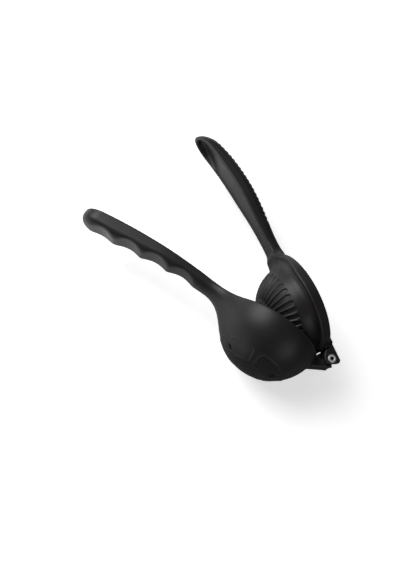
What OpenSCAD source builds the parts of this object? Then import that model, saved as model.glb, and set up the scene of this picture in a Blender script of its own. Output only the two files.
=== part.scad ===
// Hinged lemon squeezer: two cast aluminium levers on one hollow rivet.
// +X runs from the hinge along the bowl lever to its grip, +Y points out of the bowl's bottom,
// and +Z is the hinge axis. The origin is the middle of the rivet. Units are millimetres.
// The press lever is drawn closed over the bowl lever and then turned open about the hinge.

/* [Bowl] */
// Outer radius of the bowl
bowl_r = 49; // [48.5:0.25:49.5]
// Wall thickness of both castings
wall = 3; // [2.6:0.1:3.2]
// Height of the bowl's rim above the hinge plane
rim_y = 5.7; // [5.6:0.1:6.4]
// Number of citrus segments outlined on the bottom
segments = 6; // [5:1:7]
// Length of the drain slots
slot_length = 6; // [5:0.5:8]

/* [Press] */
// Outer radius of the dome between its flutes
dome_r = 41.9; // [41:0.1:42.2]
// Number of flutes around the dome
flutes = 35; // [29:1:36]
// Depth of the flutes
flute_depth = 1.1; // [0.8:0.1:1.5]
// Outer radius of the flange around the dome
flange_r = 50; // [49.6:0.1:50.2]
// Depth of the flange's skirt from its lip to its back edge
skirt_h = 9.4; // [9:0.1:9.8]

/* [Handles] */
// Length of the bowl lever from the hinge axis to its tip
bowl_tip = 269; // [266:0.5:272]
// Length of the press lever from the hinge axis to its tip
press_tip = 258.5; // [255:0.5:260]
// Width of both grips
grip_width = 29.6; // [28.6:0.2:30]
// Distance between the finger scallops
scallop_pitch = 28.3; // [27.5:0.1:28.5]
// Distance between the ridges on the back of the press grip
ridge_pitch = 5.2; // [4.8:0.1:6]

/* [Hinge] */
// Radius of the rivet's shank
rivet_r = 3; // [2.8:0.1:3.2]
// Radius of the hole through the rivet
rivet_bore_r = 1.6; // [1.4:0.1:1.8]
// Half of the width across the two ears
ears_z = 14.6; // [14.2:0.1:15]
// Angle between the two levers as drawn
open_angle = 30.5; // [25:0.5:60]

/* [Hidden] */
$fn = 96;

far = 400;
black = [0.18, 0.17, 0.18];
steel = [0.78, 0.78, 0.80];

// The bowl's ball and the dome's ball share an axis that is this far from the hinge.
head_x = 60;
bowl_y = 4;
dome_y = -2.3;
bowl_end = head_x + bowl_r;

// Fits around the rivet's shank: loose in the bowl's lug, close in the press's ears.
lug_fit = 0.05;
ear_fit = 0.02;

function ease(t) = let (s = max(0, min(1, t))) s * s * (3 - 2 * s);
function ramp(x, from, to, power) = pow(max(0, (x - from) / (to - from)), power);

// Half width of both handles: narrow at the neck, full on the grip and round at the tip.
neck_half = 12;
grip_from = 128;
grip_to = 185;
tip_length = 19;
function handle_half(x, tip) =
    let (w = neck_half + (grip_width / 2 - neck_half) * ease((x - grip_from) / (grip_to - grip_from)),
         over = max(0, x - tip + tip_length))
    w * sqrt(max(0.0004, 1 - pow(over / tip_length, 2)));

// Stations along a handle, in even steps and then closer around the tip.
station_step = 5.5;
function stations(from, tip) = concat(
    [for (x = [from : station_step : tip - tip_length - 1]) x],
    [for (a = [0, 22, 40, 55, 68, 78, 85, 90]) tip - tip_length + tip_length * sin(a)]);

// Bowl lever: its top line falls from the rim to the channel's edge, which curls up at the tip.
lip_low = 1.5;
function bowl_top(x) =
    let (lip = lip_low + 12.3 * ramp(x, 150, bowl_tip, 3) + 1.5 * ramp(-x, -150, -120, 2))
    lip + (rim_y - lip) * (1 - ease((x - bowl_end + 5) / 12));
// Its outer line leaves the bowl's ball, fills the neck and swells along the grip.
root_x = 92;
fillet_x = 102;
neck_out = 13.5;
function ball_half(x) = sqrt(max(0, pow(bowl_r, 2) - pow(x - head_x, 2)));
function bowl_out(x) =
    let (tip_r = 7,
         line = neck_out + 12 * ease((x - 140) / (bowl_tip - 138)),
         root = (bowl_y + ball_half(fillet_x) - neck_out) * ramp(-x, -129.7, -fillet_x, 2.6),
         over = max(0, x - bowl_tip + tip_r))
    x < fillet_x ? bowl_y + ball_half(x) - 0.2
        : line + root - tip_r + sqrt(max(0.01, pow(tip_r, 2) - pow(over, 2)));
// It flares in plan to meet the bowl's ball.
function bowl_half(x) =
    handle_half(x, bowl_tip) + (ball_half(root_x) - 0.3 - neck_half) * ramp(-x, -135.2, -root_x, 1.8);

// Press lever: the same two lines and the flare at its neck.
function press_top(x) =
    0.8 + 9 * ramp(x, 140, press_tip - 4, 1.4) + 5 * ramp(x, 140, press_tip - 4, 8);
function press_out(x) =
    let (tip_r = 11,
         line = -10 - 3.2 * ease((x - 118) / 45) + 14 * ramp(x, 165, press_tip - 9, 2.6),
         over = max(0, x - press_tip + tip_r))
    line + 4.5 * ramp(-x, -113, -103, 2) + tip_r - sqrt(max(0.01, pow(tip_r, 2) - pow(over, 2)));
function press_half(x) = handle_half(x, press_tip) + 10 * ramp(-x, -124, -106, 2);

// Skin of a handle. Each ring is flat on top and half of a superellipse below, squarer further out.
ring_steps = 16;
function ring(x, top, out, half) =
    let (p = 1 - 0.5 * ease((x - 96) / 40))
    [for (i = [0 : ring_steps])
        let (v = 180 * i / ring_steps)
        [x, top + (out - top) * pow(sin(v), p), half * sign(cos(v)) * pow(abs(cos(v)), p)]];
module skin(rings, turned) {
    n = ring_steps + 1;
    last = len(rings) - 1;
    sides = [for (k = [0 : last - 1]) for (i = [0 : n - 1])
        let (j = (i + 1) % n) [k * n + i, k * n + j, (k + 1) * n + j, (k + 1) * n + i]];
    ends = [[for (i = [n - 1 : -1 : 0]) i], [for (i = [0 : n - 1]) last * n + i]];
    faces = concat(sides, ends);
    polyhedron([for (r = rings) for (p = r) p],
        turned ? [for (f = faces) [for (i = [len(f) - 1 : -1 : 0]) f[i]]] : faces);
}

// Plan outline of a handle's channel, and slabs that are long in Y or wide in Z.
module channel_plan(from, tip) {
    half = [for (x = stations(from, tip - wall)) [x, handle_half(x, tip - wall) - wall]];
    kept = [for (p = half) if (p[1] > 0.5) p];
    polygon(concat(kept, [for (i = [len(kept) - 1 : -1 : 0]) [kept[i][0], -kept[i][1]]]));
}
module plan_slab() rotate([90, 0, 0]) linear_extrude(far, center = true) children();
module side_slab(half) linear_extrude(2 * half, center = true) children();

// Finger scallops, as round bars that lie across the outer side of the bowl lever's grip.
scallop_r = 20;
module scallops(grow) {
    for (k = [0 : 3]) {
        x = 157.9 + k * scallop_pitch;
        depth = k < 3 ? 4.3 : 2.9;
        slope = atan((bowl_out(x + 3) - bowl_out(x - 3)) / 6);
        up = scallop_r - depth;
        translate([x - up * sin(slope), bowl_out(x) + up * cos(slope), 0])
            cylinder(h = far, r = scallop_r + grow, center = true);
    }
}

module bowl_channel() difference() {
    intersection() {
        side_slab(grip_width / 2)
            polygon(concat([[110, -far / 4], [bowl_tip, -far / 4]],
                [for (x = [bowl_tip : -station_step : 110]) [x, bowl_out(x) - wall]]));
        plan_slab() channel_plan(119, bowl_tip);
    }
    scallops(wall);
}

module press_channel() intersection() {
    side_slab(grip_width / 2)
        polygon(concat([[110, far / 4], [press_tip, far / 4]],
            [for (x = [press_tip : -station_step : 110]) [x, press_out(x) + wall + ridge_cut]]));
    plan_slab() channel_plan(124, press_tip);
}

// Grooves across the back of the press lever's grip, which leave the ridges between them.
ridge_cut = 0.7;
module ridge_grooves() {
    groove_r = 1.5;
    for (x = [147 : ridge_pitch : 241])
        translate([x, press_out(x) - groove_r + ridge_cut, 0]) cylinder(h = far, r = groove_r, center = true);
}

// Turns +Z to the direction that leaves the bowl's ball at a tilt from +Y and a turn from +X.
module on_ball(tilt, turn) {
    translate([head_x, bowl_y, 0])
        rotate([0, -turn, 0]) rotate([0, 0, -tilt]) rotate([-90, 0, 0]) children();
}

// One round hole or slot through the bowl's wall. A slot points at the middle of the bottom.
module drain(tilt, turn, r, length) {
    reach = length / 2 - r;
    on_ball(tilt, turn) translate([0, 0, bowl_r - 3 * wall]) {
        for (s = [-1, 1]) translate([s * reach, 0, 0]) cylinder(h = 5 * wall, r = r);
        if (reach > 0) translate([-reach, -r, 0]) cube([2 * reach, 2 * r, 5 * wall]);
    }
}

// Slots between the segments on either side of the hinge and of the neck, with a hole inside each.
module drains() {
    for (turn = [30, 150, 210, 330]) {
        drain(32, turn, 1.2, slot_length);
        drain(12, turn, 1.3, 2.6);
    }
}

// Raised outline of one citrus segment: two spokes between an inner and an outer arc of a half-sunk bead.
bead_r = 0.8;
bead_h = 0.45;
bead_from = 24;
bead_to = 44;
module bead(r) circle(r, $fn = 24);
module segment_outline() {
    centre_r = bowl_r - bead_r + bead_h;
    half = 180 / segments - 6;
    for (s = [-1, 1]) rotate([0, s * half, 0]) rotate([0, 0, 90 - bead_to])
        rotate_extrude(angle = bead_to - bead_from) translate([centre_r, 0]) bead(bead_r);
    // The arcs are a little thinner than the spokes, and end inside them.
    for (polar = [bead_from, bead_to]) rotate([0, -half - 0.4, 0]) rotate([-90, 0, 0])
        rotate_extrude(angle = 2 * half + 0.8)
            translate(centre_r * [sin(polar), cos(polar)]) bead(bead_r - 0.1);
}

// Hinge lug of the bowl: a knuckle between the ears, on a gusset that widens to the ball.
knuckle_r = 6.3;
knuckle_gap = 0.3;
ear_t = 5.6;
ears_in = ears_z - ear_t;
knuckle_half = ears_in - knuckle_gap;
gusset = [[16, 18.2], [24, 23.5], [22, rim_y]];
module lug() {
    side_slab(knuckle_half) {
        circle(knuckle_r);
        polygon(concat([[7.6, 2.4], [4.4, -4.4], [-5.4, -2], [-6, 2], [-4.2, 5.1]], gusset,
            [[13.4, rim_y], [13.4, 2.6]]));
    }
    intersection() {
        side_slab(ears_z) polygon(concat([[11, rim_y], [8.5, 7.6], [5, 11]], gusset));
        plan_slab() polygon([[2, knuckle_half], [22, ears_z], [22, -ears_z], [2, -knuckle_half]]);
    }
}

module bowl_lever() color(black) difference() {
    union() {
        intersection() {
            translate([head_x, bowl_y, 0]) sphere(bowl_r);
            translate([-far / 2, rim_y, -far / 2]) cube(far);
        }
        skin([for (x = stations(root_x, bowl_tip)) ring(x, bowl_top(x), bowl_out(x), bowl_half(x))], false);
        translate([head_x, bowl_y, 0])
            for (k = [0 : segments - 1]) rotate([0, k * 360 / segments, 0]) segment_outline();
        lug();
    }
    translate([head_x, bowl_y, 0]) sphere(bowl_r - wall);
    bowl_channel();
    scallops(0);
    drains();
    cylinder(h = far, r = rivet_r + lug_fit, center = true);
}

// Flange around the dome, in section: a plate with a raised lip, a skirt and a fillet at the dome.
lip_y = 5.3;
lip_t = 3.8;
recess = 2.2;
plate_t = 3;
fillet_r = 4;
face_h = lip_y - recess - dome_y;
module flange_section() {
    top = lip_y - dome_y;
    inner = flange_r - lip_t;
    fillet_at = [sqrt(pow(dome_r + fillet_r, 2) - pow(face_h + fillet_r, 2)), face_h + fillet_r];
    foot = fillet_at * dome_r / (dome_r + fillet_r);
    polygon([[dome_r - wall, face_h - plate_t], [inner, face_h - plate_t], [inner, top - skirt_h],
        [flange_r, top - skirt_h], [flange_r, top], [inner, top], [inner, face_h], [dome_r - wall, face_h]]);
    difference() {
        polygon([[dome_r - wall, face_h - 1], [dome_r - wall, foot[1]], foot, [fillet_at[0], face_h],
            [fillet_at[0], face_h - 1]]);
        translate(fillet_at) circle(fillet_r);
    }
}

// The flange, whose lip sinks into the neck.
module flange() difference() {
    translate([head_x, dome_y, 0]) rotate([-90, 0, 0]) rotate_extrude() flange_section();
    side_slab(far)
        polygon([[76, far], [76, lip_y], [88, 2.6], [98, press_top(0)], [far, press_top(0)], [far, far]]);
}

// Cuts for the flutes: upright bars round the dome's axis, wide at the round foot, on a ball for a floor.
flute_from = 20;
flute_to = 34.9;
flute_narrow = 1;
flute_wide = 2.3;
module flute_cuts() difference() {
    rotate([-90, 0, 0]) linear_extrude(dome_r + wall)
        for (k = [0 : flutes - 1]) rotate(k * 360 / flutes) {
            polygon([[flute_from, -flute_narrow], [flute_to, -flute_wide],
                [flute_to, flute_wide], [flute_from, flute_narrow]]);
            translate([flute_to, 0]) circle(flute_wide);
        }
    sphere(dome_r - flute_depth);
}

// One ear in side view: a knuckle round the rivet that runs along the back to the flange.
ear_r = 7.2;
web_y = -6.8;
web_from = 10.8;
module ear() {
    circle(ear_r);
    translate([-4, -4]) circle(2.4);
    polygon([[-7, 0], [-6.3, -4.4], [-4.4, web_y + 0.4], [20, web_y - 0.4], [20, 1], [web_from, 1],
        [web_from, web_y + 1.6], [8.6, web_y + 1.6], [8.6, 0.6], [6.2, 4.2], [0, 0]]);
}
// The web that joins both ears across the back, behind the bowl's knuckle.
module web() {
    linear_extrude(2 * ears_z, center = true)
        polygon([[12.6, web_y - 1.8], [22, web_y - 1.8], [22, 1], [12.6, 1]]);
    linear_extrude(2 * ears_in + 1, center = true)
        polygon([[3, web_y - 0.1], [3, web_y - 1.8], [13, web_y - 1.8], [13, web_y - 0.1]]);
}

module press_lever_closed() difference() {
    union() {
        translate([head_x, dome_y, 0]) {
            intersection() {
                sphere(dome_r);
                translate([-far / 2, face_h - plate_t, -far / 2]) cube(far);
            }
        }
        flange();
        web();
        skin([for (x = stations(103, press_tip)) ring(x, press_top(x), press_out(x), press_half(x))], true);
        for (s = [-1, 1])
            translate([0, 0, s * (ears_in + ear_t / 2)]) linear_extrude(ear_t, center = true) ear();
    }
    translate([head_x, dome_y, 0]) {
        sphere(dome_r - wall);
        flute_cuts();
    }
    press_channel();
    ridge_grooves();
    // Notch that lets the bowl's lug pass between the ears.
    translate([-far, web_y - 0.1, -ears_in]) cube([far + 14, far, 2 * ears_in]);
    cylinder(h = far, r = rivet_r + ear_fit, center = true);
}

module press_lever() color(black) rotate([0, 0, -open_angle]) press_lever_closed();

// Hollow rivet with a rolled flange at both ends.
rim_r = 4.3;
rim_t = 1;
rim_edge = 0.4;
function rivet_half(s) = [for (p = [[rivet_r, 0], [rim_r, 0], [rim_r, rim_t - rim_edge],
    [rim_r - rim_edge, rim_t], [rivet_bore_r, rim_t]]) [p[0], s * (ears_z + p[1])]];
module hinge_rivet() color(steel) rotate_extrude()
    polygon(concat(rivet_half(1), [for (i = [4 : -1 : 0]) rivet_half(-1)[i]]));

bowl_lever();
press_lever();
hinge_rivet();
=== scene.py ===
# %% [markdown]
# # Hinged lemon squeezer
# Two cast aluminium levers turn on one hollow steel rivet. One lever ends in a half-ball bowl, and
# the other in a fluted dome that presses half a lemon into it. Both castings carry the same matte
# black powder coat. The squeezer lies on its side, open. The frame is the measured solid model
# with its moving bodies: each new piece is drawn in the same place as the node it stands for, and
# rides on that node's body.

# %% Load the frame and keep its size
import math
import bpy
import numpy as np
from mathutils import Matrix, Vector


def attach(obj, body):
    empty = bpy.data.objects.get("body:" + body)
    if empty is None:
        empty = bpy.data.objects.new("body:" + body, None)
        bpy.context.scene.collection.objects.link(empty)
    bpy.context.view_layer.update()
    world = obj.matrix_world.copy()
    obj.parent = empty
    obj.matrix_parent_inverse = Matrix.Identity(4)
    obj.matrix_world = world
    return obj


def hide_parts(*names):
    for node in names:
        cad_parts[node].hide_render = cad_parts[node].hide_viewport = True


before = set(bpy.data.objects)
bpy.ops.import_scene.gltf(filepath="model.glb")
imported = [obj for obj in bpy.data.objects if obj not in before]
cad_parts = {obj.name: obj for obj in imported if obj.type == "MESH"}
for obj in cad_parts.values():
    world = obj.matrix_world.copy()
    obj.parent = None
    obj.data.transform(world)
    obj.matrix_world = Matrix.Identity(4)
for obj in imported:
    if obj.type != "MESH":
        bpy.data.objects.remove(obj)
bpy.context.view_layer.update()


# %% [markdown]
# ## How the castings are drawn
# A casting has no edges where one form meets the next: the handle flows out of the ball, and every
# rim is rounded over. It could be built from subdivided cages and Boolean cuts, but those leave
# pinched seams where a slot or a flute meets a ball. So each casting is a field instead: a number
# for each point of space that is negative inside the metal, zero on its surface and about the
# distance to it outside. Simple fields are joined by a minimum that rounds the corner it makes.
# Then one net is laid over the places where the field is zero. All sizes are in millimetres until
# a mesh is made, with x from the hinge along the bowl lever, y out of the bowl's bottom and z
# along the hinge.

# %% Ways to join fields
FAR = 1e9


def smooth_min(a, b, reach):
    """The lesser of a and b. Where they differ by less than reach it is lower still, by reach / 4
    times the square of 1 - |a - b| / reach, which rounds the corner between them."""
    near = np.maximum(reach - np.abs(a - b), 0) / reach
    return np.minimum(a, b) - near * near * reach / 4


def smooth_max(a, b, reach):
    """The greater of a and b, with the same rounding the other way."""
    return -smooth_min(-a, -b, reach)


def corner(a, b, radius):
    """Where two limits a and b meet: inside both, with a round of that radius between them. Both
    are moved in by the radius, and the distance to the corner of the moved ones is moved back."""
    u, v = a + radius, b + radius
    return np.hypot(np.maximum(u, 0), np.maximum(v, 0)) - radius + np.minimum(np.maximum(u, v), 0)


def span(value, low, high):
    """Outside a stretch from low to high: the distance from its middle, less half its length."""
    return np.abs(value - (low + high) / 2) - (high - low) / 2


# %% Ways to bend a line
def ease(t):
    """0 before 0, 1 after 1, and t squared times (3 - 2t) between, so it starts and ends level."""
    t = np.clip(t, 0, 1)
    return t * t * (3 - 2 * t)


def ramp(x, start, end, power):
    """Nothing before start, then the share of the way to end, raised to a power."""
    return np.maximum((x - start) / (end - start), 0) ** power


print("half way: ease", ease(0.5), "square ramp", ramp(0.5, 0, 1, 2))


# %% A flat outline as a field
def outline_field(x, y, corners):
    """Distance to the nearest side of a closed outline. It is negative where a line towards +x
    crosses an odd number of sides."""
    nearest = np.full(x.shape, FAR)
    inside = np.zeros(x.shape, bool)
    for (ax, ay), (bx, by) in zip(corners, corners[1:] + corners[:1]):
        ex, ey = bx - ax, by - ay
        along = np.clip(((x - ax) * ex + (y - ay) * ey) / (ex * ex + ey * ey), 0, 1)
        nearest = np.minimum(nearest, np.hypot(x - ax - along * ex, y - ay - along * ey))
        if ey != 0:
            inside ^= ((ay > y) != (by > y)) & (x < ax + (y - ay) * ex / ey)
    return np.where(inside, -nearest, nearest)


# %% [markdown]
# ## The net over a field
# The field is sampled on a grid of points. Each small cube of eight points that is partly inside
# the metal gets one vertex, at the mean of the places where its edges cross zero, and each crossed
# edge joins the four cubes round it with one face. A remesh modifier could do that too, but it
# knows nothing of the field. Here the vertices are slid along the field's slope until they lie on
# the surface, so the net is smooth though its grid is coarse.

# %% Sample the field
GRID = 0.8
COARSE, NEAR_BLOCKS = 4, 2.1
DEEP = 9.0


def sampled(field, low, high):
    """Field values on the grid, and where the grid starts. First every fourth point each way is
    sampled, and then all points of the blocks near the surface. Elsewhere the sign is enough."""
    axes = [np.arange(a, b + GRID * COARSE, GRID) for a, b in zip(low, high)]
    axes = [a[: len(a) // COARSE * COARSE] for a in axes]
    start = np.array([a[0] for a in axes])
    points = np.stack(np.meshgrid(*[a[::COARSE] for a in axes], indexing="ij"), -1)
    rough = field(*points.reshape(-1, 3).T).reshape(points.shape[:3])
    block = np.ones((COARSE,) * 3)
    values = np.kron(np.where(rough < 0, -DEEP, DEEP), block)
    near = np.argwhere(np.kron(np.abs(rough) < GRID * COARSE * NEAR_BLOCKS, block) > 0)
    values[tuple(near.T)] = field(*(near * GRID + start).T)
    return values, start


# %% Lay the net
def cube_vertices(values, cubes):
    """The mean of the places where a cube's twelve edges cross zero, in cells."""
    unit = np.eye(3, dtype=int)
    total, hits = np.zeros(cubes.shape), np.zeros(len(cubes))
    for axis in range(3):
        u, v = unit[(axis + 1) % 3], unit[(axis + 2) % 3]
        for side in (0 * u, u, v, u + v):
            a = cubes + side
            fa, fb = values[tuple(a.T)], values[tuple((a + unit[axis]).T)]
            cross = (fa < 0) != (fb < 0)
            share = np.where(cross, fa / np.where(cross, fa - fb, 1), 0)
            total += cross[:, None] * (a + share[:, None] * unit[axis])
            hits += cross
    return total / hits[:, None]


def net_over(values, start):
    """One vertex in each cube whose corners differ in sign, and across each grid edge that
    crosses zero one face, which joins the four cubes round it and points out of the metal."""
    solid = values < 0
    n = [s - 1 for s in solid.shape]
    count = sum(solid[i:n[0] + i, j:n[1] + j, k:n[2] + k].astype(np.int8)
                for i in (0, 1) for j in (0, 1) for k in (0, 1))
    cubes = np.argwhere((count > 0) & (count < 8))
    number = np.full(n, -1)
    number[tuple(cubes.T)] = np.arange(len(cubes))
    unit = np.eye(3, dtype=int)
    faces = []
    for axis in range(3):
        u, v = unit[(axis + 1) % 3], unit[(axis + 2) % 3]
        lower = np.moveaxis(solid, axis, 0)
        edges = np.argwhere(lower[:-1] != lower[1:])
        edges = np.insert(edges[:, 1:], axis, edges[:, 0], axis=1)
        round_edge = (0 * u, u, u + v, v)
        quads = np.stack([number[tuple((edges - side).T)] for side in round_edge], 1)
        outward = solid[tuple(edges.T)]
        faces.append(np.where(outward[:, None], quads, quads[:, ::-1]))
    return start + GRID * cube_vertices(values, cubes), np.concatenate(faces)


# %% Slide the vertices on to the surface
SLOPE_STEP = 0.04
LEAST_SLOPE = 0.15
SLIDES = 3


def slope(field, points):
    """The field's slope along x, y and z: its change over a short step each way, divided by the
    length of both steps."""
    shifts = SLOPE_STEP * np.eye(3)
    change = [field(*(points + s).T) - field(*(points - s).T) for s in shifts]
    return np.stack(change, 1) / (2 * SLOPE_STEP)


def snapped(field, points):
    """Points slid by field * slope / slope squared, three times over, and at most one cell away
    from where they began."""
    moved = points
    for _ in range(SLIDES):
        g = slope(field, moved)
        squared = np.maximum((g * g).sum(1), LEAST_SLOPE)
        moved = moved - field(*moved.T)[:, None] * g / squared[:, None]
        moved = points + np.clip(moved - points, -GRID, GRID)
    return moved


# %% Make a mesh, with the sharpness of its edges as an attribute
MM = 0.001
EDGE_REACH, EDGE_GAIN = 0.9, 6


def edge_share(field, points):
    """How much the surface bends outwards, from -1 to 1: the mean of the field at six places
    round a point, over their distance, times a gain. On a flat face the six cancel."""
    places = EDGE_REACH * np.concatenate([np.eye(3), -np.eye(3)])
    around = [field(*(points + d).T) for d in places]
    return np.clip(np.mean(around, 0) / EDGE_REACH * EDGE_GAIN, -1, 1)


def mesh_object(name, points, faces, **attributes):
    """A smooth mesh from arrays of points in millimetres, with one number a point for each
    attribute."""
    mesh = bpy.data.meshes.new(name)
    mesh.from_pydata((points * MM).tolist(), [], faces.tolist())
    for key, data in attributes.items():
        layer = mesh.attributes.new(key, "FLOAT", "POINT")
        layer.data.foreach_set("value", np.asarray(data, np.float32))
    mesh.shade_smooth()
    obj = bpy.data.objects.new(name, mesh)
    bpy.context.scene.collection.objects.link(obj)
    print(name, len(points), "vertices", len(faces), "faces")
    return obj


def cast_object(name, field, low, high, turn=0.0):
    """The net over a field between two corners, turned about the hinge by an angle in degrees."""
    points, faces = net_over(*sampled(field, low, high))
    points = snapped(field, points)
    edge = edge_share(field, points)
    c, s = math.cos(math.radians(turn)), math.sin(math.radians(turn))
    points = points @ np.array([[c, s, 0], [-s, c, 0], [0, 0, 1]])
    return mesh_object(name, points, faces, edge=edge)


# %% [markdown]
# ## Both handles
# The handles share a plan: narrow at the neck, full on the grip and a long round at the tip. A
# table of widths would do for a loft, but a field needs an even slope round the tip as well, so
# the plan is a field too.

# %% The handles' plan
WALL = 3.0
GRIP_FROM, GRIP_RUN = 128, 60


def plan_field(x, z, neck_half, grip_half, tip, tip_length):
    """Distance off the middle, less the half width there. Past the start of the tip, x is scaled
    so that the tip becomes a half circle, and counts as distance too."""
    half = neck_half + (grip_half - neck_half) * ease((x - GRIP_FROM) / GRIP_RUN)
    past = np.maximum(x - tip + tip_length, 0) * half / tip_length
    return np.hypot(past, z) - half


print("the grip is full from", GRIP_FROM + GRIP_RUN, "mm on, and its walls are", WALL, "mm")

# %% [markdown]
# ## The bowl lever
# A half ball with a 3 mm wall runs into a handle that is a channel, open towards the other lever.
# Four finger scallops cross the grip. On the ball's bottom six citrus segments stand out in thin
# lines, with slots between them and round holes inside their ring, and a lug reaches back to the
# rivet. The outside is drawn first, as one bulk with wide rounds, and then what is hollow or open
# is cut away, much as the mould's core does it.

# %% The bowl lever's lines
HEAD_X, BOWL_Y, BOWL_R, RIM_Y = 60.0, 4.0, 49.0, 5.1
RIM_FROM, RIM_RUN = 82, 32
BOWL_TIP = 268.0
LIP_LOW, LIP_CURL, CURL_FROM, CURL_POWER = 1.2, 10.6, 150, 2.2
NECK_RISE, NECK_FROM, NECK_AT = 1.5, 150, 120
OUT_LOW, OUT_SWELL, SWELL_FROM, SWELL_RUN = 13.6, 12.0, 140, 130.0


def bowl_top(x):
    """The top line. Over the ball it is the rim. From there it eases down to the channel's lip,
    which rises a little at the neck and curls up by a power towards the tip."""
    lip = LIP_LOW + LIP_CURL * ramp(x, CURL_FROM, BOWL_TIP, CURL_POWER)
    lip = lip + NECK_RISE * ramp(-x, -NECK_FROM, -NECK_AT, 2)
    return lip + (RIM_Y - lip) * (1 - ease((x - RIM_FROM) / RIM_RUN))


def bowl_out(x):
    """The handle's outer line, which swells along the grip."""
    return OUT_LOW + OUT_SWELL * ease((x - SWELL_FROM) / SWELL_RUN)


print("bowl handle at 150 mm from y", round(float(bowl_top(150)), 1),
      "to", round(float(bowl_out(150)), 1))

# %% The finger scallops
SCALLOP_R, SCALLOP_FROM, SCALLOP_PITCH = 20.0, 157.9, 28.3
SCALLOP_DEPTHS = 4.3, 4.3, 4.3, 2.9
CHORD_HALF = 3.0


def scallop_field(x, y):
    """Distance to the nearest of four round bars laid across the grip. A bar's middle is off the
    outer line, square to a short chord of it, by the bar's radius less the scallop's depth."""
    nearest = np.full(x.shape, FAR)
    for k, depth in enumerate(SCALLOP_DEPTHS):
        at = SCALLOP_FROM + SCALLOP_PITCH * k
        climb = bowl_out(at + CHORD_HALF) - bowl_out(at - CHORD_HALF)
        tilt = math.atan(climb / (2 * CHORD_HALF))
        up = SCALLOP_R - depth
        cx, cy = at - up * math.sin(tilt), bowl_out(at) + up * math.cos(tilt)
        nearest = np.minimum(nearest, np.hypot(x - cx, y - cy) - SCALLOP_R)
    return nearest


print(len(SCALLOP_DEPTHS), "scallops, one every", SCALLOP_PITCH, "mm")

# %% The drain slots and holes
DRAIN_TURNS = 30, 150, 210, 330
# Each kind of drain has a tilt in degrees, half the length of its line and a radius.
DRAINS = {"slot": (32, 1.8, 1.2), "hole": (12, 0.0, 1.3)}
DRAIN_FROM = 30


def drain_field(qx, qy, qz, tilt, turn, reach, radius):
    """Distance from one drain, for points given from the ball's middle. The drain faces a
    direction at a tilt off the ball's pole and a turn round it. It is all that lies within a
    radius of a short line across that direction, seen along it, in the outer part of the ball."""
    t, w = math.radians(tilt), math.radians(turn)
    out = (math.sin(t) * math.cos(w), math.cos(t), math.sin(t) * math.sin(w))
    along = (math.cos(t) * math.cos(w), -math.sin(t), math.cos(t) * math.sin(w))
    side = (-math.sin(w), 0.0, math.cos(w))
    a = qx * along[0] + qy * along[1] + qz * along[2]
    s = qx * side[0] + qy * side[1] + qz * side[2]
    away = DRAIN_FROM - (qx * out[0] + qy * out[1] + qz * out[2])
    return np.maximum(np.hypot(np.maximum(np.abs(a) - reach, 0), s) - radius, away)


def drains_field(qx, qy, qz):
    """Distance from the nearest drain."""
    nearest = np.full(qx.shape, FAR)
    for turn in DRAIN_TURNS:
        for tilt, reach, radius in DRAINS.values():
            nearest = np.minimum(nearest, drain_field(qx, qy, qz, tilt, turn, reach, radius))
    return nearest


print(len(DRAIN_TURNS), "of each drain:", ", ".join(DRAINS))

# %% The citrus segments
SEGMENTS = 6
SEGMENT_FROM, SEGMENT_TO, SEGMENT_HALF = 24, 44, 24
SEGMENT_FOOT_R, SEGMENT_POINT_R = 4.0, 3.0
BEAD_HEIGHT = 0.45


def segment_height(qx, qy, qz):
    """Height of the segment lines, for points given from the ball's middle: a low round bead, a
    millimetre to either side of a wedge's outline. The wedge is drawn flat, with the distance
    from the ball's pole kept true. The bead is the square of 1 less the distance squared."""
    cosine = np.clip(qy / np.sqrt(qx * qx + qy * qy + qz * qz), -1, 1)
    polar = np.arccos(cosine) * BOWL_R
    pitch = 2 * math.pi / SEGMENTS
    turn = np.abs((np.arctan2(qz, qx) + pitch / 2) % pitch - pitch / 2)
    half = math.radians(SEGMENT_HALF)
    side = polar * (np.sin(turn) * math.cos(half) - np.cos(turn) * math.sin(half))
    wedge = corner(polar - math.radians(SEGMENT_TO) * BOWL_R, side, SEGMENT_FOOT_R)
    wedge = corner(wedge, math.radians(SEGMENT_FROM) * BOWL_R - polar, SEGMENT_POINT_R)
    return BEAD_HEIGHT * np.clip(1 - wedge ** 2, 0, 1) ** 2


segment_length = math.radians(SEGMENT_TO - SEGMENT_FROM) * BOWL_R
print(SEGMENTS, "segments,", round(segment_length, 1), "mm long")

# %% The lug
LUG = [(7.6, 2.4), (4.4, -4.4), (-5.4, -2), (-7, 2), (-5, 5.4), (16, 17.6), (24, 22.9),
       (22, RIM_Y), (16.4, RIM_Y), (16.4, 4.4), (13.4, 2.6)]
LUG_HALF, LUG_WIDER, LUG_EDGE_R = 8.7, 5.9, 0.8
WIDER_FROM, WIDER_RUN = (5, 5.2), (20, 3)
KNUCKLE_R, LUG_BORE_R = 6.3, 3.05


def lug_field(x, y, z):
    """A round knuckle and a wedge in outline. Its half width eases up along x and along y, so
    that it widens into the ball."""
    side = np.minimum(np.hypot(x, y) - KNUCKLE_R, outline_field(x, y, LUG))
    along = ease((x - WIDER_FROM[0]) / WIDER_RUN[0])
    widened = LUG_HALF + LUG_WIDER * along * ease((y - WIDER_FROM[1]) / WIDER_RUN[1])
    return corner(side, np.abs(z) - widened, LUG_EDGE_R)


print("lug", 2 * LUG_HALF, "mm wide at the rivet")

# %% The bowl lever's outside
BOWL_NECK_HALF, BOWL_GRIP_HALF, BOWL_TIP_LENGTH = 12.0, 14.8, 17
BOWL_HANDLE_FROM, BOWL_HANDLE_R = 84, 9.0
ROOT_ROUND, SCALLOP_ROUND, RIM_ROUND = 24, 2.4, 1.6


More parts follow.
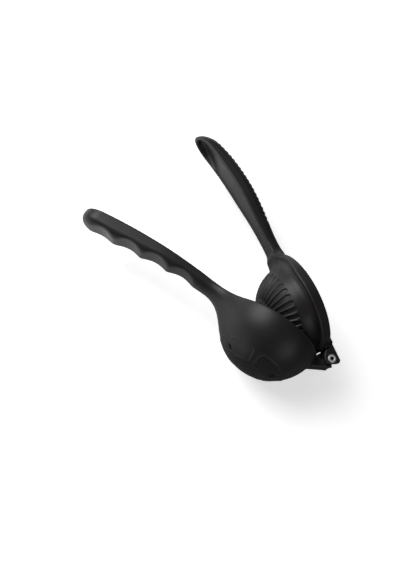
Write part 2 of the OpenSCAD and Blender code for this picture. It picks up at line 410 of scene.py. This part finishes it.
def bowl_outside(x, y, plan, ball, scallops):
    """The ball and a bar under the handle's plan, joined with a wide round, less the scallops and
    less what stands over the top line."""
    bar = corner(plan, y - bowl_out(x), BOWL_HANDLE_R)
    d = smooth_min(ball, np.maximum(bar, BOWL_HANDLE_FROM - x), ROOT_ROUND)
    d = smooth_max(d, -scallops, SCALLOP_ROUND)
    return smooth_max(d, bowl_top(x) - y, RIM_ROUND)


# %% The bowl lever's inside
FLOOR_FROM, FLOOR_RUN, FLOOR_DONE = 112, 26, 150
CHANNEL_R = 4.0


def bowl_inside(x, y, plan, from_centre, scallops):
    """The ball's hollow and the handle's channel. Both are a wall inside the outside. The
    channel's floor eases down from the lip at the neck, and rises over each scallop."""
    top, deep = bowl_top(x), bowl_out(x) - WALL
    floor = np.where(x < FLOOR_DONE, top + (deep - top) * ease((x - FLOOR_FROM) / FLOOR_RUN), deep)
    channel = corner(plan + WALL, y - floor, CHANNEL_R)
    channel = smooth_max(channel, -(scallops - WALL), CHANNEL_R)
    return np.minimum(from_centre - (BOWL_R - WALL), channel)


# %% The bowl lever
BOTTOM_FROM, BOTTOM_NEAR, BEAD_DEPTH = 25, 6, 1.2
LUG_END, LUG_ROUND = 40, 1.2
MOUTH_ROUND, DRAIN_ROUND = 1.4, 0.6


def bowl_field(x, y, z):
    """The outside with its segment lines, joined to the lug, less the inside, the drains and the
    rivet's bore. Lines and drains are worked out only near the bottom, and the lug near the
    hinge."""
    qx, qy = x - HEAD_X, y - BOWL_Y
    from_centre = np.sqrt(qx * qx + qy * qy + z * z)
    ball = from_centre - BOWL_R
    plan = plan_field(x, z, BOWL_NECK_HALF, BOWL_GRIP_HALF, BOWL_TIP, BOWL_TIP_LENGTH)
    scallops = scallop_field(x, y)
    d = bowl_outside(x, y, plan, ball, scallops)
    bottom = (y > BOTTOM_FROM) & (np.abs(ball) < BOTTOM_NEAR)
    on_bottom = (qx[bottom], qy[bottom], z[bottom])
    d[bottom] -= segment_height(*on_bottom) * (ball[bottom] > -BEAD_DEPTH)
    lug = np.full(x.shape, FAR)
    near = x < LUG_END
    lug[near] = lug_field(x[near], y[near], z[near])
    d = smooth_min(d, lug, LUG_ROUND)
    d = smooth_max(d, -bowl_inside(x, y, plan, from_centre, scallops), MOUTH_ROUND)
    d[bottom] = smooth_max(d[bottom], -drains_field(*on_bottom), DRAIN_ROUND)
    return np.maximum(d, LUG_BORE_R - np.hypot(x, y))


bowl_casting = cast_object("bowl_casting", bowl_field, (-8, -9, -51.2), (271, 55, 51.2))

# %% [markdown]
# ## The press lever
# A hollow dome with 35 sunk flutes stands on a flange with a raised lip and a skirt. Two ears
# reach back round the bowl's lug. The handle's face, towards the other lever, is a shallow dish
# that deepens at the tip, and fine grooves cross its back. Each flute could be a cutter of its
# own. Here a point's turn round the dome's axis is folded into one pitch, so that a single bar
# makes all 35 alike. The lever is drawn closed over the bowl, because there its lines are level,
# and then turned open about the rivet.

# %% The press lever's lines
PRESS_TIP, OPEN_ANGLE = 258.5, 30.5
FACE_LOW, FACE_FROM, FACE_TO = 1.7, 150, PRESS_TIP - 2
FACE_CURL, FACE_POWER, FACE_HOOK, HOOK_POWER = 11.8, 1.9, 2.2, 8
BACK_LOW = -10.6
BACK_BOW, BOW_FROM, BOW_RUN = 2.1, 118, 45
BACK_CURL, BACK_FROM, BACK_TO, BACK_POWER = 14, 165, PRESS_TIP - 9, 2.6
BACK_ROOT, ROOT_FROM, ROOT_AT = 1.8, 111, 103


def press_top(x):
    """The face's edge: level at the neck, then up by a low power, and at the very tip by a high
    one, towards the bowl lever."""
    curl = FACE_CURL * ramp(x, FACE_FROM, FACE_TO, FACE_POWER)
    return FACE_LOW + curl + FACE_HOOK * ramp(x, FACE_FROM, FACE_TO, HOOK_POWER)


def press_out(x):
    """The handle's back: it bows out after the neck, curls in towards the tip, and rises to the
    flange at its root."""
    bow = BACK_LOW - BACK_BOW * ease((x - BOW_FROM) / BOW_RUN)
    line = bow + BACK_CURL * ramp(x, BACK_FROM, BACK_TO, BACK_POWER)
    return line + BACK_ROOT * ramp(-x, -ROOT_FROM, -ROOT_AT, 2)


print("press handle at 150 mm from y", round(float(press_out(150)), 1),
      "to", round(float(press_top(150)), 1))

# %% The dome's flutes
DOME_Y, DOME_R = -2.0, 41.9
FLUTES, FLUTE_DEPTH, FLUTE_EDGE = 35, 1.1, 0.7
FLUTE_FROM, FLUTE_RUN, FLUTE_ABOVE = 20, 14.9, 10
FLUTE_HALF, FLUTE_WIDENS = 1.0, 1.3


def flute_share(qx, qy, qz):
    """1 on a flute's floor and 0 between flutes, for points given from the dome's middle. Seen
    along the dome's axis a flute is a bar with round ends, wider at its foot."""
    pitch = 2 * math.pi / FLUTES
    turn = (np.arctan2(qz, qx) + pitch / 2) % pitch - pitch / 2
    out = np.hypot(qx, qz)
    u, v = out * np.cos(turn), out * np.sin(turn)
    along = np.clip((u - FLUTE_FROM) / FLUTE_RUN, 0, 1)
    bar = np.hypot(u - FLUTE_FROM - FLUTE_RUN * along, v) - (FLUTE_HALF + FLUTE_WIDENS * along)
    return ease(0.5 - bar / FLUTE_EDGE) * (qy > FLUTE_ABOVE)


foot_pitch = 2 * math.pi * (FLUTE_FROM + FLUTE_RUN) / FLUTES
print(FLUTES, "flutes, one every", round(foot_pitch, 2), "mm at the foot")

# %% The ears and the web between them
EAR = [(-3.0, 4.0), (-4.9, 0), (-6.5, -4.4), (-5.8, -5.6), (-4.7, -6.8), (20, -7.6), (20, 1),
       (10.9, 1), (10.9, -3.8), (9.8, -3.8), (9.8, 0.6), (6.4, 4.4), (2.0, 6.2), (-1.6, 5.8)]
EARS_IN, EARS_OUT, EAR_BORE_R = 9.0, 14.6, 3.02
BLOCK_X, BLOCK_Y = (12.6, 22.0), (-8.6, 1.0)
STRIP_X, STRIP_Y, STRIP_OVER = (3.0, 13.0), (-8.6, -6.9), 0.5
EAR_EDGE_R, WEB_ROUND = 0.6, 1.0


def hinge_field(x, y, z):
    """Two ears, each an outline between two faces, with a block that ties them to the flange and
    a thin strip across the back that runs on between them."""
    side = outline_field(x, y, EAR)
    ears = corner(side, span(np.abs(z), EARS_IN, EARS_OUT), EAR_EDGE_R)
    block = np.maximum(span(x, *BLOCK_X), span(y, *BLOCK_Y))
    block = corner(block, np.abs(z) - EARS_OUT, EAR_EDGE_R)
    strip = np.maximum(span(x, *STRIP_X), span(y, *STRIP_Y))
    strip = np.maximum(strip, np.abs(z) - EARS_IN - STRIP_OVER)
    return smooth_min(ears, np.minimum(block, strip), WEB_ROUND)


print("ears", round(EARS_OUT - EARS_IN, 1), "mm thick, with", 2 * EARS_IN, "mm between them")

# %% The dome on its flange
FLANGE_R, PLATE_T, PLATE_IN = 50.0, 3.0, 1
LIP_Y, LIP_T, LIP_R, RECESS, SKIRT_H = 5.3, 3.8, 0.9, 2.2, 9.6
SUNK_Y, SUNK_FROM, SUNK_RUN = 0.8, 74, 26
SUNK_ROUND, DOME_ROUND, LIP_ROUND = 1.5, 7.0, 0.7


def head_field(x, y, z, from_centre):
    """The fluted dome on a round plate, with a ring round its edge that is both lip and skirt.
    Plate and ring are cut down towards the neck, where the handle's face runs in."""
    qx = x - HEAD_X
    plate_y = LIP_Y - RECESS
    dome = from_centre - DOME_R + FLUTE_DEPTH * flute_share(qx, y - DOME_Y, z)
    dome = np.maximum(dome, plate_y - PLATE_T - y)
    out = np.hypot(qx, z)
    plate = np.maximum(out - FLANGE_R + PLATE_IN, span(y, plate_y - PLATE_T, plate_y))
    ring = corner(span(out, FLANGE_R - LIP_T, FLANGE_R), span(y, LIP_Y - SKIRT_H, LIP_Y), LIP_R)
    sunk = y - (SUNK_Y + (LIP_Y - SUNK_Y) * (1 - ease((x - SUNK_FROM) / SUNK_RUN)))
    d = smooth_min(dome, smooth_max(plate, sunk, SUNK_ROUND), DOME_ROUND)
    return smooth_min(d, smooth_max(ring, sunk, SUNK_ROUND), LIP_ROUND)


# %% The press handle
PRESS_NECK_HALF, PRESS_GRIP_HALF, PRESS_TIP_LENGTH = 9.8, 15.8, 22
PRESS_FLARE, FLARE_FROM, FLARE_AT = 3, 128, 106
PRESS_HANDLE_FROM, PRESS_HANDLE_R, FACE_ROUND = 92, 8.5, 1.6
DISH_DEPTH, DISH_FROM, DISH_RUN = 1.4, 118, 20
TIP_DEPTH, TIP_FROM, TIP_RUN = 5.4, 212, 34
DISH_END, DISH_R, DISH_ROUND, BRIM = 112, 3.0, 6.0, 2.6


def press_plan(x, z):
    """The handle's plan, flared at the neck to meet the flange."""
    plan = plan_field(x, z, PRESS_NECK_HALF, PRESS_GRIP_HALF, PRESS_TIP, PRESS_TIP_LENGTH)
    return plan - PRESS_FLARE * ramp(-x, -FLARE_FROM, -FLARE_AT, 2)


def press_bar(x, y, plan):
    """The handle as a solid bar: under its plan, between the back and the face."""
    bar = corner(plan, press_out(x) - y, PRESS_HANDLE_R)
    return np.maximum(smooth_max(bar, y - press_top(x), FACE_ROUND), PRESS_HANDLE_FROM - x)


def press_dish(x, y, plan):
    """What is sunk into the face, inside a brim: one depth along the grip, and more at the
    tip."""
    floor = press_top(x) - DISH_DEPTH * ease((x - DISH_FROM) / DISH_RUN)
    floor = floor - TIP_DEPTH * ease((x - TIP_FROM) / TIP_RUN)
    return smooth_max(corner(plan + BRIM, floor - y, DISH_R), DISH_END - x, DISH_ROUND)


# %% The grooves across the back
GROOVE_PITCH, GROOVE_DEPTH, GROOVE_AT = 5.2, 0.6, 147
GROOVES_FROM, GROOVES_TO, GROOVE_SIDE, GROOVE_FADE = 144, 244, 4.5, 3
GROOVE_POWER = 1.5


def groove_depth(x, y):
    """Half of 1 plus a cosine along the handle, raised to a power so that the ridges between are
    broader, and faded at both ends of the row and up the handle's sides."""
    wave = 0.5 + 0.5 * np.cos((x - GROOVE_AT) * 2 * math.pi / GROOVE_PITCH)
    row = ease((x - GROOVES_FROM) / GROOVE_FADE) * ease((GROOVES_TO - x) / GROOVE_FADE)
    up_side = ease((press_out(x) + GROOVE_SIDE - y) / GROOVE_FADE)
    return GROOVE_DEPTH * wave ** GROOVE_POWER * row * up_side


print(int((GROOVES_TO - GROOVES_FROM) / GROOVE_PITCH), "grooves,", GROOVE_DEPTH, "mm deep")

# %% The press lever
DOME_SQUEEZE = 1.022
HINGE_END, HINGE_ROUND, PRESS_ROOT_ROUND = 30, 1.0, 9.0
NOTCH_END, NOTCH_STEP_Y, NOTCH_ROUND = 14, 2.6, 0.5


def press_field(x, y, z):
    """Head, handle and ears, less the dome's hollow, the dish, the grooves, the notch for the lug
    and the rivet's bore. The dome is a ball, squeezed a little on the side of the neck."""
    qx, qy = x - HEAD_X, y - DOME_Y
    long_x = np.where(qx > 0, qx * DOME_SQUEEZE, qx)
    from_centre = np.sqrt(long_x * long_x + qy * qy + z * z)
    plan = press_plan(x, z)
    d = smooth_min(head_field(x, y, z, from_centre), press_bar(x, y, plan), PRESS_ROOT_ROUND)
    near = x < HINGE_END
    d[near] = smooth_min(d[near], hinge_field(x[near], y[near], z[near]), HINGE_ROUND)
    open_parts = np.minimum(from_centre - (DOME_R - WALL), press_dish(x, y, plan))
    d = smooth_max(d, -open_parts, MOUTH_ROUND) + groove_depth(x, y)
    notch = np.maximum(x - NOTCH_END - ease(y - NOTCH_STEP_Y), STRIP_Y[1] - y)
    d = smooth_max(d, -corner(notch, np.abs(z) - EARS_IN, NOTCH_ROUND), NOTCH_ROUND)
    return np.maximum(d, EAR_BORE_R - np.hypot(x, y))


press_casting = cast_object("press_casting", press_field, (-9, -18, -52), (259, 40, 52),
                            -OPEN_ANGLE)

# %% [markdown]
# ## The rivet
# A hollow steel rivet whose ends are rolled over into small round rims. It has one profile all the
# way round, so nothing is gained by a field: a profile of points is spun about the hinge axis.

# %% Spin a profile
def spun(profile, steps):
    """Points (radius, height) carried round +Z: x = radius * cos(turn), y = radius * sin(turn),
    z = height."""
    turn = np.linspace(0, 2 * math.pi, steps, endpoint=False)[:, None]
    radius, height = profile[:, 0][None], profile[:, 1][None]
    points = np.stack([radius * np.cos(turn), radius * np.sin(turn), height + 0 * turn], -1)
    n = len(profile)
    i, j = np.meshgrid(np.arange(steps), np.arange(n), indexing="ij")
    a, b = i * n + j, (i + 1) % steps * n + j
    c, e = (i + 1) % steps * n + (j + 1) % n, i * n + (j + 1) % n
    return points.reshape(-1, 3), np.stack([a, b, c, e], -1).reshape(-1, 4)


def arc(cx, cy, rx, ry, start, end, steps=10):
    """A run of points on an ellipse, from one angle to another in degrees."""
    t = np.radians(np.linspace(start, end, steps))
    return np.stack([cx + rx * np.cos(t), cy + ry * np.sin(t)], 1)


# %% The rivet
RIVET_R, RIVET_BORE_R, RIVET_STEPS = 3.0, 1.5, 96
RIM_R, RIM_T, RIM_MIDDLE, RIM_SEAT = 3.75, 1.0, 0.45, 0.3
ROLL_OUT, ROLL_IN, ROLL_DEEP = 0.5, 0.9, 0.6
SHANK_SHORT, BORE_MARGIN = 0.05, 0.2
rim_z = EARS_OUT + RIM_MIDDLE
rolled = np.concatenate([
    [[RIVET_R, 0.0], [RIVET_R, EARS_OUT - SHANK_SHORT]],
    [[RIM_R - RIM_SEAT, EARS_OUT]],
    arc(RIM_R - ROLL_OUT, rim_z, ROLL_OUT, RIM_MIDDLE, -60, 90),
    arc(RIVET_BORE_R + ROLL_IN, rim_z, ROLL_IN, RIM_T - RIM_MIDDLE, 90, 180),
    [[RIVET_BORE_R, EARS_OUT - ROLL_DEEP]]])
profile = np.concatenate([rolled, (rolled * [1, -1])[::-1][:-1]])
rivet_points, rivet_faces = spun(profile, RIVET_STEPS)
bore = np.hypot(rivet_points[:, 0], rivet_points[:, 1]) < RIVET_BORE_R + BORE_MARGIN
rivet = mesh_object("rivet", rivet_points, rivet_faces, bore=bore)

# %% [markdown]
# ## Powder coat
# Powder coat is a baked plastic skin. It is matte black with a fine orange-peel texture, a little
# greyer where hands polish it, and thin on sharp edges. An image could carry that, but it would
# stretch over so round a shape. So noise in the piece's own space gives the cloudiness, the uneven
# gloss and the grain, and the mesh's edge attribute tells the edges from the hollows. The lighter
# colour it gives the edges is partly that thin, worn coat and partly a painted highlight.

# %% Node helpers
def new_material(name):
    """A material with its node tree and its Principled shader."""
    material = bpy.data.materials.new(name)
    material.use_nodes = True
    tree = material.node_tree
    return material, tree, tree.nodes["Principled BSDF"]


def feed(tree, node, values):
    """Values for a node's sockets, by name or number: a link where the value is a socket, and a
    constant where it isn't."""
    for key, value in values.items():
        if isinstance(value, bpy.types.NodeSocket):
            tree.links.new(value, node.inputs[key])
        else:
            node.inputs[key].default_value = value


def add_node(tree, kind, *in_order, **by_name):
    """A node with its sockets fed, the first ones in order and others by name."""
    node = tree.nodes.new(kind)
    feed(tree, node, {**dict(enumerate(in_order)), **by_name})
    return node


# %% Node helpers for values and colours
def noise_at(tree, coords, scale, detail):
    """Soft noise from 0 to 1, with so many patches a metre and so many finer layers."""
    node = add_node(tree, "ShaderNodeTexNoise", Vector=coords, Scale=scale, Detail=detail)
    return node.outputs["Fac"]


def attribute(tree, name):
    """The mesh's own number at each point, under that name."""
    node = add_node(tree, "ShaderNodeAttribute")
    node.attribute_name = name
    return node.outputs["Fac"]


def mapped(tree, value, low, high, to_low, to_high):
    """The value's place between low and high, carried to the same place between two others."""
    node = add_node(tree, "ShaderNodeMapRange", value, low, high, to_low, to_high)
    return node.outputs["Result"]


def worked_out(tree, operation, a, b):
    """One number from two, such as their product."""
    node = add_node(tree, "ShaderNodeMath", a, b)
    node.operation = operation
    return node.outputs["Value"]


def mixed(tree, share, a, b):
    """Colour a, and b by the share. A Mix node keeps its colours on sockets 6 and 7."""
    node = add_node(tree, "ShaderNodeMix")
    node.data_type = "RGBA"
    a, b = (c if isinstance(c, bpy.types.NodeSocket) else (*c, 1) for c in (a, b))
    feed(tree, node, {"Factor": share, 6: a, 7: b})
    return node.outputs[2]


# %% The coat
COAT_DARK, COAT_LIGHT = (0.0095, 0.0082, 0.0092), (0.0150, 0.0130, 0.0145)
COAT_EDGE_WEAR_AND_HIGHLIGHT, EDGE_FROM, EDGE_FULL, EDGE_MOST = (0.036, 0.033, 0.034), 0.25, 0.9, 0.7
CLOUD_SCALE, CLOUD_LAYERS, CLOUD_LOW, CLOUD_HIGH = 45, 3, 0.35, 0.65
GRAIN_SCALE, GRAIN_LAYERS, GRAIN_LEAST = 1500, 2, 0.3
NOISE_LOW, NOISE_HIGH = 0.3, 0.7
COAT_ROUGH, COAT_POLISHED, COAT_GLOSS = 0.48, 0.42, 0.35
PEEL_STRENGTH, PEEL_HEIGHT = 0.25, 0.0001
coat, tree, shader = new_material("black powder coat")
where = add_node(tree, "ShaderNodeTexCoord").outputs["Object"]
cloud = noise_at(tree, where, CLOUD_SCALE, CLOUD_LAYERS)
grain = noise_at(tree, where, GRAIN_SCALE, GRAIN_LAYERS)
base = mixed(tree, mapped(tree, cloud, CLOUD_LOW, CLOUD_HIGH, 0, 1), COAT_DARK, COAT_LIGHT)
# Lighter colour on convex edges: partly wear of the thin coat, partly a painted highlight along
# the rounded edges.
on_edges = mapped(tree, attribute(tree, "edge"), EDGE_FROM, EDGE_FULL, 0, EDGE_MOST)
in_grains = mapped(tree, grain, NOISE_LOW, NOISE_HIGH, GRAIN_LEAST, 1)
worn_and_highlit = worked_out(tree, "MULTIPLY", on_edges, in_grains)
peel = add_node(tree, "ShaderNodeBump", Strength=PEEL_STRENGTH, Distance=PEEL_HEIGHT, Height=grain)
feed(tree, shader, {
    "Base Color": mixed(tree, worn_and_highlit, base, COAT_EDGE_WEAR_AND_HIGHLIGHT),
    "Roughness": mapped(tree, cloud, NOISE_LOW, NOISE_HIGH, COAT_ROUGH, COAT_POLISHED),
    "Specular IOR Level": COAT_GLOSS,
    "Normal": peel.outputs["Normal"]})
print("coat nodes", len(tree.nodes))

# %% [markdown]
# ## Steel
# The rivet is plain steel, rolled by a tool that turns, so its marks run round the hinge axis. A
# wave in rings gives them, as a very low bump. The bore is dark, because little light reaches it,
# and a mesh attribute says where it is.

# %% The steel
STEEL_DARK, STEEL_LIGHT, STEEL_BORE_SHADE = (0.62, 0.61, 0.60), (0.74, 0.74, 0.73), (0.02, 0.02, 0.02)
STEEL_SMOOTH, STEEL_ROUGH, STEEL_METAL = 0.30, 0.45, 0.6
SPOT_SCALE, SPOT_LAYERS, RING_SCALE = 700, 3, 900.0
RING_STRENGTH, RING_HEIGHT = 0.08, 0.00003
steel, tree, shader = new_material("rolled steel")
where = add_node(tree, "ShaderNodeTexCoord").outputs["Object"]
rings = add_node(tree, "ShaderNodeTexWave", Vector=where, Scale=RING_SCALE, Distortion=0.6,
                 Detail=1.0)
rings.wave_type, rings.rings_direction = "RINGS", "Z"
marks = add_node(tree, "ShaderNodeBump", Strength=RING_STRENGTH, Distance=RING_HEIGHT,
                 Height=rings.outputs["Fac"])
spots = noise_at(tree, where, SPOT_SCALE, SPOT_LAYERS)
bright = mixed(tree, mapped(tree, spots, NOISE_LOW, NOISE_HIGH, 0, 1), STEEL_DARK, STEEL_LIGHT)
# The bore takes a near-black colour: painted shade, since little light reaches into it.
feed(tree, shader, {
    "Base Color": mixed(tree, attribute(tree, "bore"), bright, STEEL_BORE_SHADE),
    "Roughness": mapped(tree, spots, NOISE_LOW, NOISE_HIGH, STEEL_SMOOTH, STEEL_ROUGH),
    "Metallic": STEEL_METAL,
    "Normal": marks.outputs["Normal"]})
print("steel nodes", len(tree.nodes))

# %% [markdown]
# ## Place every piece in the frame
# Each piece takes its material, hides the solid that it stands for and rides on that solid's body.
# The finish it belongs to is listed beside it.

# %% Dress the frame
for piece, material, node, body, finish in (
        (bowl_casting, coat, "bowl_lever", "bowl_side", "coated_casting"),
        (press_casting, coat, "press_lever", "press_side", "coated_casting"),
        (rivet, steel, "hinge_rivet", "press_side", "rivet_steel")):
    piece.data.materials.append(material)
    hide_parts(node)
    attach(piece, body)

# %% [markdown]
# ## Floor and room
# A plain white floor lies under the squeezer and keeps its shadow. A studio would hang a white
# sheet behind it and grey flags beside it. Here the floor and the world play both parts, by the
# kind of ray that meets them. A ray from the camera finds them white. A ray that mirrors finds
# them white on one side, and dark on the other and overhead, so that the round of a matte black
# casting shows one bright edge and one dark one. All other rays find plain paper and a dim room.

# %% Rays that find the background white
def ray_shares(tree):
    """1 for a ray from the camera, and 1 for a ray that mirrors or passes through."""
    path = add_node(tree, "ShaderNodeLightPath").outputs
    bounced = worked_out(tree, "MAXIMUM", path["Is Glossy Ray"], path["Is Transmission Ray"])
    return path["Is Camera Ray"], bounced


# %% The floor
FLOOR_Z, FLOOR_HALF = -50.2, 4000
PAPER, SHADE = (0.9, 0.9, 0.9), (0.22, 0.22, 0.22)
SHADE_TO, WHITE_FROM = 0.09, 0.27
GLOW, GLOW_TO, WHITE_AT, PAPER_ROUGH = 0.55, 0.25, 0.9, 0.9
floor_points = np.array([[-1, -1, 0], [1, -1, 0], [1, 1, 0], [-1, 1, 0]]) * FLOOR_HALF
floor = mesh_object("floor", floor_points + [0, 0, FLOOR_Z], np.array([[0, 1, 2, 3]]))
paper, tree, shader = new_material("white paper")
seen, mirrored = ray_shares(tree)
place = add_node(tree, "ShaderNodeTexCoord").outputs["Object"]
along_x = add_node(tree, "ShaderNodeSeparateXYZ", Vector=place).outputs["X"]
shaded = worked_out(tree, "MULTIPLY", mirrored, mapped(tree, along_x, SHADE_TO, WHITE_FROM, 1, 0))
from_hinge = add_node(tree, "ShaderNodeVectorMath", place)
from_hinge.operation = "LENGTH"
glow = mapped(tree, from_hinge.outputs["Value"], GLOW_TO, WHITE_AT, GLOW, 1)
glow = worked_out(tree, "MULTIPLY", glow, mapped(tree, shaded, 0, 1, 1, 0))
glow = worked_out(tree, "MULTIPLY", worked_out(tree, "MAXIMUM", seen, mirrored), glow)
feed(tree, shader, {
    "Base Color": mixed(tree, shaded, PAPER, SHADE),
    "Roughness": PAPER_ROUGH,
    "Emission Color": (1, 1, 1, 1),
    "Emission Strength": glow})
floor.data.materials.append(paper)

# %% The world
WHITE, ROOM, CEILING = (1, 1, 1), (0.12, 0.12, 0.124), (0.04, 0.04, 0.04)
SHEET_TOP, CEILING_FROM = 0.05, 0.45
FLAG_TO, SHEET_FROM = -0.1, 0.6
world = bpy.data.worlds.new("studio")
bpy.context.scene.world = world
world.use_nodes = True
tree = world.node_tree
seen, mirrored = ray_shares(tree)
way = add_node(tree, "ShaderNodeTexCoord").outputs["Generated"]
way = add_node(tree, "ShaderNodeSeparateXYZ", Vector=way).outputs
over_sheet = mapped(tree, way["Z"], SHEET_TOP, CEILING_FROM, 0, 1)
on_flag = mapped(tree, way["X"], FLAG_TO, SHEET_FROM, 1, 0)
unlit = worked_out(tree, "MAXIMUM", over_sheet, on_flag)
found = mixed(tree, mirrored, ROOM, mixed(tree, unlit, WHITE, CEILING))
feed(tree, tree.nodes["Background"], {"Color": mixed(tree, seen, found, WHITE), "Strength": 1.0})
print("world nodes", len(tree.nodes))

# %% [markdown]
# ## Camera and lamps
# The camera looks down on the squeezer from near the hinge axis, rolled so that both handles
# point up. Its place is kept in bowl radii, because the bowl is the one round form that gives the
# scale. Two square lamps light the castings. The large key lamp stands over the handles, and a
# small weak one below the hinge picks out the rivet and the bottom of the bowl.

# %% Camera
VIEW_TILT, VIEW_TURN, ROLL = math.radians(21.3), math.radians(246.2), math.radians(144.7)
UNIT, DISTANCE, UNIT_PIXELS = 0.049, 12.0, 50.906
IMAGE_W, IMAGE_H, SENSOR, CLIP_END = 400, 570, 36, 10
TARGET, TARGET_PIXEL = (-2.180, 2.033), (211, 258)
toward = Vector((math.sin(VIEW_TILT) * math.cos(VIEW_TURN),
                 math.sin(VIEW_TILT) * math.sin(VIEW_TURN), math.cos(VIEW_TILT)))
swing = Vector((0, 0, 1)).rotation_difference(toward).to_matrix()
level = Matrix.Rotation(-ROLL, 3, "Z")
toward = level @ toward
right, up = level @ swing @ Vector((1, 0, 0)), level @ swing @ Vector((0, 1, 0))
target = level @ Vector((TARGET[0] * UNIT, TARGET[1] * UNIT, 0))
lens = bpy.data.cameras.new("camera")
camera = bpy.data.objects.new("camera", lens)
bpy.context.scene.collection.objects.link(camera)
pose = Matrix((right, up, toward)).transposed().to_4x4()
pose.translation = target + toward * DISTANCE * UNIT
camera.matrix_world = pose
lens.sensor_fit, lens.sensor_height = "VERTICAL", SENSOR
lens.lens = UNIT_PIXELS * DISTANCE / IMAGE_H * SENSOR
lens.shift_x = (IMAGE_W / 2 - TARGET_PIXEL[0]) / IMAGE_H
lens.shift_y = (TARGET_PIXEL[1] - IMAGE_H / 2) / IMAGE_H
lens.clip_end = CLIP_END
bpy.context.scene.camera = camera
print("camera", round(DISTANCE * UNIT, 3), "m away with a lens of", round(lens.lens, 1), "mm")

# %% Lamps
LAMP_DISTANCE = 0.9


def soft_lamp(name, way, size, power):
    """A square lamp that faces the target from a direction, given as shares of right, up and
    toward the camera."""
    lamp = bpy.data.lights.new(name, "AREA")
    lamp.size, lamp.energy = size, power
    obj = bpy.data.objects.new(name, lamp)
    bpy.context.scene.collection.objects.link(obj)
    out = (right * way[0] + up * way[1] + toward * way[2]).normalized()
    obj.location = target + out * LAMP_DISTANCE
    obj.rotation_euler = out.to_track_quat("Z", "Y").to_euler()
    print("lamp", name, "at", [round(v, 2) for v in obj.location])


soft_lamp("key", (-0.38, 0.62, 0.69), 0.6, 8)
soft_lamp("low", (0.42, -0.66, 0.62), 0.35, 0.9)
bpy.context.scene.view_settings.view_transform = "Standard"
